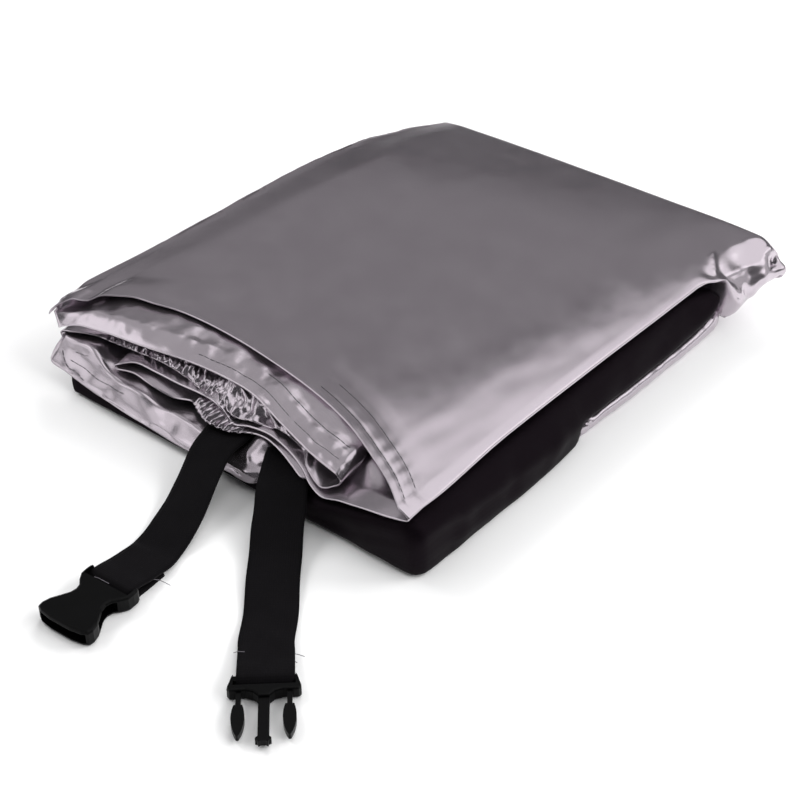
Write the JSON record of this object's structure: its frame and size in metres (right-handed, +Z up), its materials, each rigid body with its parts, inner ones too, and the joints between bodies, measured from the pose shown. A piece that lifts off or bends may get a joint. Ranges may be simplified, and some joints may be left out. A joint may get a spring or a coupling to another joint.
{
  "type": "folded motorcycle cover",
  "caption": "Silver and black motorcycle cover folded to a flat packet, with webbing straps that end in the two halves of a side-release buckle.",
  "frame": {"origin": "on the floor under the middle of the folded packet", "axes": "+X along the side where the straps come out towards the folded edge, +Y from the straps to the far side, +Z up"},
  "size_m": [0.2775, 0.4416, 0.0495],
  "materials": {
    "silver_cloth": "silver coated woven polyester, soft satin sheen",
    "black_cloth": "black coated woven polyester, faint sheen",
    "webbing": "black woven webbing, matt",
    "buckle_plastic": "black moulded plastic, satin"
  },
  "bodies": {
    "root": {"silver_outer_panel": "silver_cloth", "silver_inner_panel": "silver_cloth", "silver_end_panel": "silver_cloth", "black_lower_panel": "black_cloth", "strap_left": "webbing", "strap_right": "webbing", "buckle_socket_half": "buckle_plastic", "buckle_prong_half": "buckle_plastic"}
  },
  "joints": []
}
